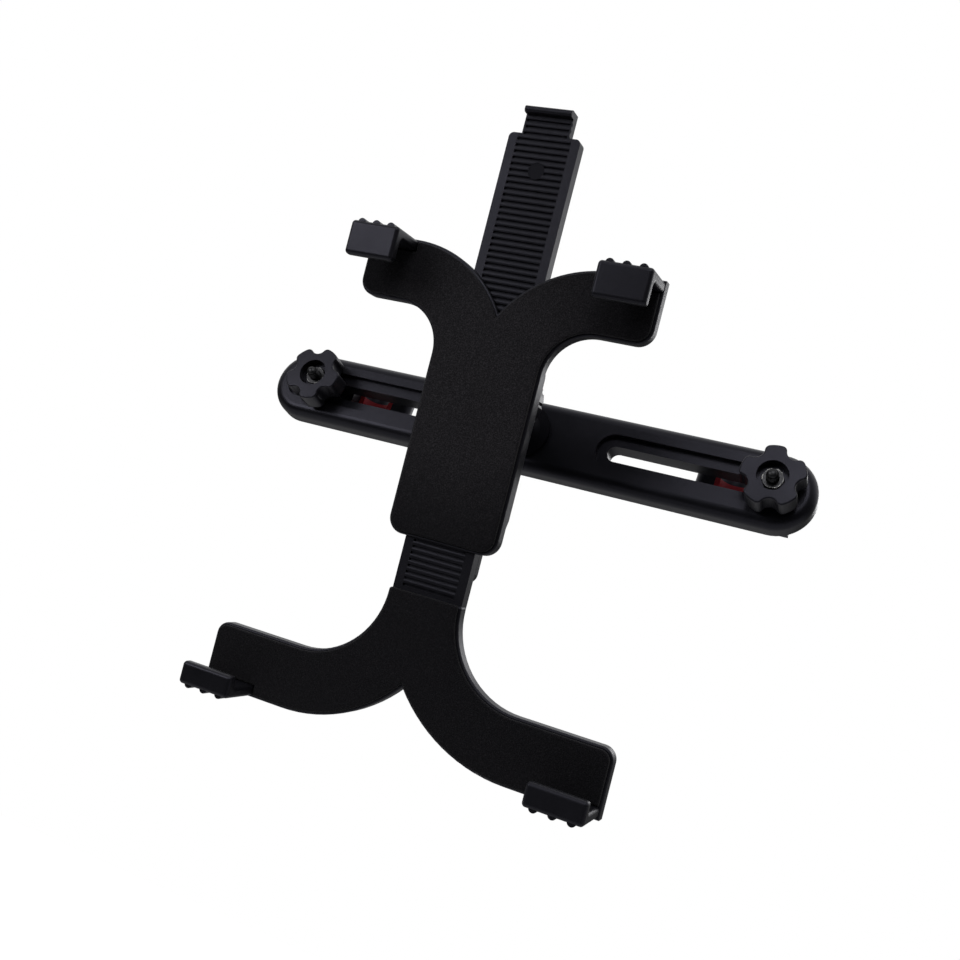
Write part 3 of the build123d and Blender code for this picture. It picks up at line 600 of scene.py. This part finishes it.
def steel(name, colour, roughness):
    """Plated steel: fine brushed bump and patchy gloss."""
    material, tree, shader, place = new_material(name, colour, roughness, {"Metallic": 1.0})
    grain = grouped(tree, moulded_grain(), place, {"Grain scale": 1400.0, "Patch scale": 420.0})
    patchy = drifted(tree, grain["Patch"], colour, dark=0.7, pale=1.2)
    tree.links.new(patchy, shader.inputs["Base Color"])
    gloss = ranged(tree, grain["Patch"], 0, 1, roughness - 0.08, roughness + 0.12)
    tree.links.new(gloss, shader.inputs["Roughness"])
    bumped(tree, shader, grain["Height"], depth=0.00002, strength=0.4)
    return material


def nut_with_painted_glint(side, look):
    """Blackened nut with a painted highlight on its rim, by the distance from the bolt's axis, sqrt(x^2 +
    z^2).
    """
    material, tree, shader, place = new_material(
        f"{side}_nut_steel", look.bolt_colour, roughness=0.34, slot_values={"Metallic": 1.0})
    low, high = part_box(f"{side}_hex_nut")
    centre = tree.nodes.new("ShaderNodeMapping")
    centre.inputs["Location"].default_value = (-(low[0] + high[0]) / 2, 0, 0)
    centre.inputs["Scale"].default_value = (1, 0, 1)
    tree.links.new(place, centre.inputs["Vector"])
    reach = vector_value(tree, "LENGTH", centre.outputs["Vector"])
    ragged = noise(tree, place, 900.0, detail=3.0, rough=0.6)
    wander = ranged(tree, ragged, *NOISE_SPAN, -NUT_GLINT_WANDER, NUT_GLINT_WANDER)
    glinting = ranged(tree, combined(tree, "ADD", reach, wander), *NUT_GLINT_RING, 0.0, 1.0)
    blotches = noise(tree, place, 260.0, detail=2.0, rough=0.5)
    # Painted highlight: the ring on the rim, broken into pieces, is paler than the rest of the nut
    rim = combined(tree, "MULTIPLY", glinting, ranged(tree, blotches, *BROKEN_SPAN, 0.0, 1.0))
    tree.links.new(tinted(tree, rim, look.bolt_colour, look.glint_colour), shader.inputs["Base Color"])
    tree.links.new(ranged(tree, ragged, *NOISE_SPAN, 0.26, 0.42), shader.inputs["Roughness"])
    return material


def notch_curve(x, run, depth):
    """Depth of the pad's edge in the notch between two arms, R - sqrt((R - rim)^2 - (run - x)^2). The
    circle of radius R = (run^2 + depth^2) / (2 depth) leaves the arm at run, deepest in the middle."""
    radius = (run**2 + depth**2) / (2 * depth)
    return radius - np.sqrt((radius - PAD_RIM) ** 2 - (run - x) ** 2)


def mirrored_loop(half):
    """Closed outline that turns left, from its right half given clockwise from the middle."""
    left = half[::-1] * (-1, 1)
    return clean_loop(np.concatenate((half, left))[::-1])


def upper_pad_loop():
    """Outline of the upper pad: notch, arms with the claws' corners cut out, crooks, rounded body."""
    inner, end, half = UPPER_CLAW_INNER - CLAW_GAP, ARM_END - PAD_RIM, BODY_HALF - PAD_RIM
    under, foot = ARM_BOTTOM + PAD_RIM, BODY_BOTTOM + PAD_RIM
    x = np.linspace(0, inner, num=28)
    notch = np.stack((x, ARM_TOP - notch_curve(x, NOTCH_RUN, NOTCH_DROP)), 1)
    cut = np.array(((inner, ARM_TOP - CLAW_CUT), (end, ARM_TOP - CLAW_CUT)))
    round_end, round_foot = ARM_CORNER - PAD_RIM, BODY_CORNER - PAD_RIM
    corner = arc((end - round_end, under + round_end), round_end, 0, -90, steps=9)
    crook = arc((ARM_CROOK, under - ARM_CROOK + half), ARM_CROOK - half, 90, 180, steps=20)
    bottom = arc((half - round_foot, foot + round_foot), round_foot, 0, -90, steps=9)
    return mirrored_loop(np.concatenate((notch, cut, corner, crook, bottom)))


def lower_pad_loop():
    """Outline of the lower pad: straight top, crooks, arms with the claws' corners cut out, notch."""
    inner, end, half = LOWER_CLAW_INNER - CLAW_GAP, FOOT_END - PAD_RIM, NECK_HALF - PAD_RIM
    top, bottom, round_end = FOOT_TOP - PAD_RIM, FOOT_BOTTOM + PAD_RIM, FOOT_CORNER - PAD_RIM
    middle = np.array(((0, NECK_TOP),))
    neck = arc((half - NECK_CORNER, NECK_TOP - NECK_CORNER), NECK_CORNER, 90, 0, steps=5)
    crook = arc((FOOT_CROOK, top + FOOT_CROOK - half), FOOT_CROOK - half, 180, 270, steps=26)
    corner = arc((end - round_end, top - round_end), round_end, 90, 0, steps=8)
    cut_top = FOOT_BOTTOM + CLAW_CUT
    cut = np.array(((end, cut_top), (inner, cut_top), (inner, bottom)))
    x = np.linspace(FOOT_NOTCH_RUN, 0, num=26)
    notch = np.stack((x, FOOT_BOTTOM + notch_curve(x, FOOT_NOTCH_RUN, FOOT_NOTCH_RISE)), 1)
    return mirrored_loop(np.concatenate((middle, neck, crook, corner, cut, notch)))


def foam_pad(name, loop, look, material, body):
    """Die-cut pad: its outline carried up a profile that goes straight up and then rounds in,
    P(s, t) = loop(s) + inset(t) mitre(s) at height(t), closed by a flat face above and below."""
    thick, edge = look.thickness / MM, look.edge / MM
    a = np.linspace(0, np.pi / 2, num=6)
    inset = np.concatenate(((0,), edge * (1 - np.cos(a))))
    height = PLATE_FRONT + np.concatenate(((0,), thick - edge + edge * np.sin(a)))
    rings = loop[None] + inset[:, None, None] * mitre(loop)[None]
    verts = holder_points(rings, height[:, None])
    count = len(loop)
    faces = ring_faces(len(rings), count)
    faces.append(list(range(count))[::-1])
    faces.append(list(range((len(rings) - 1) * count, len(rings) * count)))
    return mesh_piece(name, verts, faces, material, body)


def close_outwards(piece):
    """Merges doubled points, as at the poles, and turns the faces outwards."""
    work = bmesh.new()
    work.from_mesh(piece.data)
    bmesh.ops.remove_doubles(work, verts=work.verts, dist=1e-6)
    bmesh.ops.recalc_face_normals(work, faces=work.faces)
    work.to_mesh(piece.data)
    work.free()


def threaded_bolt(name, node, look, material, body):
    """Carriage bolt along -Y in the box of its node: a surface of revolution r(y) whose front part carries
    a helical thread, r = root + (crest - root) w(y / pitch + a / 2 pi), where w is a triangle wave with
    flattened crests and roots."""
    root, crest, pitch = look.root / MM, look.crest / MM, look.pitch / MM
    low, high = np.array(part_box(node)) / MM
    x, seat, run = (low[0] + high[0]) / 2, high[1] - BOLT_HEAD_RISE, low[1] + BOLT_TIP
    dome = np.linspace(0, np.pi / 2, num=9)
    head_y, head_r = seat + BOLT_HEAD_RISE * np.cos(dome), BOLT_HEAD_RADIUS * np.sin(dome)
    neck_y, neck_r = np.array((seat, seat, THREAD_START)), np.array((BOLT_HEAD_RADIUS, crest, crest))
    thread_y = np.arange(THREAD_START, run, -pitch / THREAD_STEPS)
    tip_y, tip_r = run - BOLT_TIP * np.sin(dome), root * np.cos(dome)
    y = np.concatenate((head_y, neck_y, thread_y, tip_y))
    plain = np.concatenate((head_r, neck_r, np.full(len(thread_y), crest), tip_r))[:, None]
    start = len(head_y) + len(neck_y)
    share = np.zeros((len(y), 1))
    share[start:start + len(thread_y), 0] = np.minimum(1, np.arange(len(thread_y)) / THREAD_RISE)
    a = np.linspace(0, 2 * np.pi, look.sides, endpoint=False)
    phase = (y[:, None] / pitch + a[None] / (2 * np.pi)) % 1
    wave = np.clip(np.abs(phase - 0.5) * THREAD_FLANK - THREAD_CUT, 0, 1)
    thread = root + (crest - root) * np.clip(y - run, 0, 1)[:, None] * wave
    radius = plain * (1 - share) + thread * share
    across, up = x + radius * np.cos(a), radius * np.sin(a)
    verts = np.stack((across, np.broadcast_to(y[:, None], radius.shape), up), -1) * MM
    piece = mesh_piece(name, verts, ring_faces(len(y), len(a)), material, body, smooth=50)
    close_outwards(piece)
    return piece


class MOUNT_OT_bar_finish(bpy.types.Operator):
    """Finish the bar, ball stud, washers and jaws"""

    bl_idname = "mount.bar_finish"
    bl_label = "Bar and jaws"

    def execute(self, context):
        look = context.scene.mount_plastic
        satin = plastic("satin_bar", look.bar_colour, roughness=0.36, spread=0.05,
                        grain_scale=2600.0, depth=look.grain, strength=0.18)
        # Painted shade: the stud's darker colour stands in for the holder's shadow; its dull gloss is its
        # finish
        dull = plastic("dull_stud", look.stud_shade_colour, roughness=0.55, spread=0.05,
                       grain_scale=2200.0, depth=look.grain, strength=0.3, gloss=0.1)
        dress(["headrest_bar"] + both("washer", "clamp_jaw"), satin)
        dress(["ball_stud"], dull)
        return {"FINISHED"}


class MOUNT_OT_holder_finish(bpy.types.Operator):
    """Finish the two brackets and the rear cover"""

    bl_idname = "mount.holder_finish"
    bl_label = "Brackets"

    def execute(self, context):
        look = context.scene.mount_plastic
        grained, ribbed = (
            plastic(name, look.holder_colour, roughness=0.42, spread=0.05,
                    grain_scale=2200.0, depth=look.grain, strength=0.25)
            for name in ("grained_holder", "ribbed_holder"))
        rounded_ribs(ribbed, look.rib_depth, look.dust_colour)
        dress(["upper_bracket", "rear_cover"], grained)
        dress(["lower_bracket"], ribbed)
        return {"FINISHED"}


class MOUNT_OT_knob_finish(bpy.types.Operator):
    """Finish the star knobs and the ring nut"""

    bl_idname = "mount.knob_finish"
    bl_label = "Knobs and ring nut"

    def execute(self, context):
        look = context.scene.mount_plastic
        smooth = plastic("smooth_knob", look.knob_colour, roughness=0.34, spread=0.06,
                         grain_scale=2800.0, depth=look.grain, strength=0.12)
        dress(["ring_nut"] + both("star_knob"), smooth)
        return {"FINISHED"}


class MOUNT_OT_rubber_finish(bpy.types.Operator):
    """Finish the claw caps and the red grip pads"""

    bl_idname = "mount.rubber_finish"
    bl_label = "Rubber"

    def execute(self, context):
        look = context.scene.mount_rubber
        cap = plastic("cap_rubber", look.cap_colour, roughness=0.4, spread=0.06,
                      grain_scale=1800.0, depth=0.00005, strength=0.2)
        grip = plastic("grip_rubber", look.grip_colour, roughness=0.5, spread=0.06,
                       grain_scale=1600.0, depth=0.00006, strength=0.25)
        dress([f"{row}_{name}" for row in ("upper", "lower") for name in both("claw_cap")], cap)
        dress(both("grip_pad"), grip)
        return {"FINISHED"}


class MOUNT_OT_foam_pads(bpy.types.Operator):
    """Make the foam pads of both brackets"""

    bl_idname = "mount.foam_pads"
    bl_label = "Foam pads"

    def execute(self, context):
        look = context.scene.mount_foam
        material = foam("skived_foam", look)
        rows = (("upper", upper_pad_loop(), "holder"), ("lower", lower_pad_loop(), "lower"))
        for row, loop, body in rows:
            pad = foam_pad(f"{row}_foam_pad", loop, look, material, body)
            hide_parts(f"{row}_pad")
        return {"FINISHED"}


class MOUNT_OT_bolts(bpy.types.Operator):
    """Make the threaded bolts and finish the other steel"""

    bl_idname = "mount.bolts"
    bl_label = "Bolts and steel"

    def execute(self, context):
        look = context.scene.mount_bolt
        plated = steel("plated_steel", look.steel_colour, roughness=0.34)
        dress(["stud_screw", "cover_screws", "slide_spring"], plated)
        dark = steel("dark_steel", look.bolt_colour, roughness=0.36)
        for side in ("left", "right"):
            dress([f"{side}_hex_nut"], nut_with_painted_glint(side, look))
            bolt = threaded_bolt(f"{side}_threaded_bolt", f"{side}_jaw_bolt", look, dark, f"{side}_jaw")
            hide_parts(f"{side}_jaw_bolt")
        return {"FINISHED"}


def pale_floor(scene, studio):
    """Pale floor under and behind the mount, topped up to white for the camera alone, so that shadows stay.
    A camera below the floor sees through it."""
    grey = (0.5, 0.5, 0.5)
    white = {"Emission Color": (1, 1, 1, 1)}
    material, tree, shader, _ = new_material("pale_floor", grey, roughness=0.9, slot_values=white)
    camera = tree.nodes.new("ShaderNodeLightPath").outputs["Is Camera Ray"]
    under = tree.nodes.new("ShaderNodeNewGeometry").outputs["Backfacing"]
    glow = combined(tree, "MULTIPLY", camera, studio.floor_glow)
    tree.links.new(glow, shader.inputs["Emission Strength"])
    opaque = combined(tree, "SUBTRACT", 1.0, combined(tree, "MULTIPLY", camera, under))
    tree.links.new(opaque, shader.inputs["Alpha"])
    corners = [(x, y, studio.floor_height) for x, y in (
        (-FLOOR_HALF, FLOOR_FRONT), (FLOOR_HALF, FLOOR_FRONT),
        (FLOOR_HALF, FLOOR_BACK), (-FLOOR_HALF, FLOOR_BACK))]
    mesh = bpy.data.meshes.new("floor")
    mesh.from_pydata(corners, [], [(0, 1, 2, 3)])
    mesh.materials.append(material)
    floor = bpy.data.objects.new("floor", mesh)
    scene.collection.objects.link(floor)


def white_surround(scene, studio):
    """White room behind and above the mount that falls off towards the front; the camera sees it as white,
    and so do mirrored rays that go back and up."""
    world = bpy.data.worlds.new("white_surround")
    world.use_nodes = True
    tree = world.node_tree
    tree.nodes.clear()
    way = tree.nodes.new("ShaderNodeSeparateXYZ")
    tree.links.new(tree.nodes.new("ShaderNodeTexCoord").outputs["Generated"], way.inputs[0])
    back, up = way.outputs["Y"], way.outputs["Z"]
    wall = combined(tree, "MULTIPLY", ranged(tree, back, *WALL_FADE, 0.0, 1.0),
                    ranged(tree, up, *WALL_HORIZON, WALL_DIM, 1.0))
    ceiling = ranged(tree, up, *CEILING_FADE, CEILING_DIM, 1.0)
    room = combined(tree, "ADD", combined(tree, "MULTIPLY", wall, studio.backdrop),
                    combined(tree, "MULTIPLY", ceiling, studio.ceiling))
    screen = combined(tree, "MULTIPLY", ranged(tree, back, *SCREEN_FADE, 0.0, 1.0),
                      ranged(tree, up, *SCREEN_HORIZON, SCREEN_DIM, 1.0))
    path = tree.nodes.new("ShaderNodeLightPath").outputs
    mirrored = combined(tree, "MULTIPLY", path["Is Glossy Ray"], screen)
    direct = combined(tree, "MAXIMUM", path["Is Camera Ray"], path["Is Transmission Ray"])
    mix = tree.nodes.new("ShaderNodeMixShader")
    tree.links.new(combined(tree, "MAXIMUM", direct, mirrored), mix.inputs[0])
    for strength, socket in zip((room, 1.0), mix.inputs[1:]):
        shade = tree.nodes.new("ShaderNodeBackground")
        shade.inputs["Color"].default_value = (1, 1, 1, 1)
        feed(tree, strength, shade.inputs["Strength"])
        tree.links.new(shade.outputs[0], socket)
    tree.links.new(mix.outputs[0], tree.nodes.new("ShaderNodeOutputWorld").inputs[0])
    scene.world = world


def soft_box(scene, name, place, size, power):
    """Round soft box at a place, turned to the ball."""
    lamp = bpy.data.lights.new(name, "AREA")
    lamp.energy = power
    lamp.shape = "DISK"
    lamp.size = size
    light = bpy.data.objects.new(name, lamp)
    aim = BALL - np.array(place)
    aim /= np.linalg.norm(aim)
    side = np.cross(aim, (0, 0, 1))
    side /= np.linalg.norm(side)
    turn = np.stack((side, np.cross(side, aim), -aim), 1)
    light.matrix_world = Matrix.Translation(place) @ Matrix(turn.tolist()).to_4x4()
    scene.collection.objects.link(light)


def photo_camera(scene, studio):
    """Camera at the photograph's place, with its axes made square to each other."""
    camera = bpy.data.cameras.new("photo_camera")
    camera.sensor_width = SENSOR_WIDTH
    camera.lens = studio.focal
    camera.clip_start = 0.01
    right = PICTURE_RIGHT / np.linalg.norm(PICTURE_RIGHT)
    down = PICTURE_DOWN - right * (right @ PICTURE_DOWN)
    down /= np.linalg.norm(down)
    turn = np.stack((right, -down, -np.cross(right, down)), 1)
    viewer = bpy.data.objects.new("photo_camera", camera)
    viewer.matrix_world = Matrix.Translation(studio.camera_place) @ Matrix(turn.tolist()).to_4x4()
    scene.collection.objects.link(viewer)
    scene.camera = viewer


class MOUNT_OT_studio(bpy.types.Operator):
    """Set up the floor, the surround, the lamps and the camera"""

    bl_idname = "mount.studio"
    bl_label = "Studio"

    def execute(self, context):
        scene = context.scene
        studio = scene.mount_studio
        scene.view_settings.view_transform = "Standard"
        pale_floor(scene, studio)
        white_surround(scene, studio)
        for name, place, size, power in SOFT_BOXES:
            soft_box(scene, name, place, size, getattr(studio, power))
        photo_camera(scene, studio)
        return {"FINISHED"}


STEPS = (
    MOUNT_OT_bar_finish,
    MOUNT_OT_holder_finish,
    MOUNT_OT_knob_finish,
    MOUNT_OT_rubber_finish,
    MOUNT_OT_foam_pads,
    MOUNT_OT_bolts,
    MOUNT_OT_studio,
)


class MOUNT_PT_panel(bpy.types.Panel):
    """Steps that dress the mount"""

    bl_idname = "MOUNT_PT_panel"
    bl_label = "Headrest tablet mount"
    bl_space_type = "VIEW_3D"
    bl_region_type = "UI"
    bl_category = "Mount"

    def draw(self, context):
        for step in STEPS:
            self.layout.operator(step.bl_idname)
        for label, group in GROUPS.items():
            box = self.layout.box()
            for setting in group.__annotations__:
                box.prop(getattr(context.scene, label), setting)


def register():
    for part in (*GROUPS.values(), *STEPS, MOUNT_PT_panel):
        bpy.utils.register_class(part)
    for label, group in GROUPS.items():
        setattr(bpy.types.Scene, label, PointerProperty(type=group))


def unregister():
    for label in GROUPS:
        delattr(bpy.types.Scene, label)
    for part in (MOUNT_PT_panel, *reversed(STEPS), *GROUPS.values()):
        bpy.utils.unregister_class(part)


def main():
    register()
    for step in STEPS:
        area, name = step.bl_idname.split(".")
        getattr(getattr(bpy.ops, area), name)()


if __name__ == "__main__":
    main()
